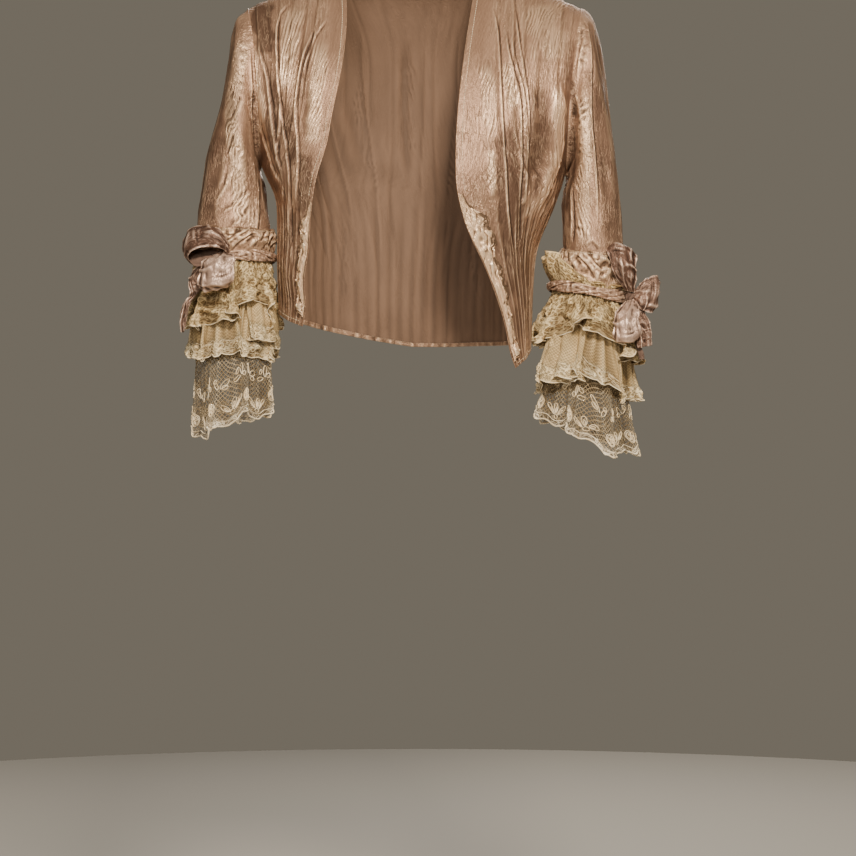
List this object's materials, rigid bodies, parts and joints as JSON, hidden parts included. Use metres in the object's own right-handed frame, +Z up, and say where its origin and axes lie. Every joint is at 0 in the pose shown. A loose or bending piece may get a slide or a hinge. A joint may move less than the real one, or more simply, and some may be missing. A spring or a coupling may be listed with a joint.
{
  "type": "bodice jacket",
  "caption": "Open-front bodice jacket of crinkled satin, pleated to pointed fronts, with elbow sleeves, ribbon bows and tiered lace flounces.",
  "frame": {"origin": "midway between the shoulders, on the shoulder seams' line, where the wearer holds the jacket up", "axes": "+Z up, -Y to the jacket's front, +X to the wearer's left"},
  "size_m": [0.5595, 0.2272, 0.561],
  "materials": {
    "satin": "satin",
    "satin_edge": "satin",
    "lace": "matte",
    "mauve_ribbon": "satin"
  },
  "bodies": {
    "root": {"back": "satin", "bow_left_inner_tail": "mauve_ribbon", "bow_left_knot": "mauve_ribbon", "bow_left_lower_loop": "mauve_ribbon", "bow_left_outer_loop": "mauve_ribbon", "bow_left_outer_tail": "mauve_ribbon", "bow_left_upper_loop": "mauve_ribbon", "bow_right_knot": "mauve_ribbon", "bow_right_lower_loop": "mauve_ribbon", "bow_right_outer_tail": "mauve_ribbon", "bow_right_upper_loop": "mauve_ribbon", "cuff_band_left": "satin_edge", "cuff_band_right": "satin_edge", "cuff_frill_left": "lace", "facing_left": "satin_edge", "facing_right": "satin_edge", "flounce_lower_left": "lace", "flounce_lower_right": "lace", "flounce_middle_left": "lace", "flounce_middle_right": "lace", "flounce_upper_left": "lace", "flounce_upper_right": "lace", "front_left": "satin", "front_right": "satin", "ribbon_left": "mauve_ribbon", "ribbon_right": "mauve_ribbon", "sleeve_left": "satin", "sleeve_right": "satin"}
  },
  "joints": []
}
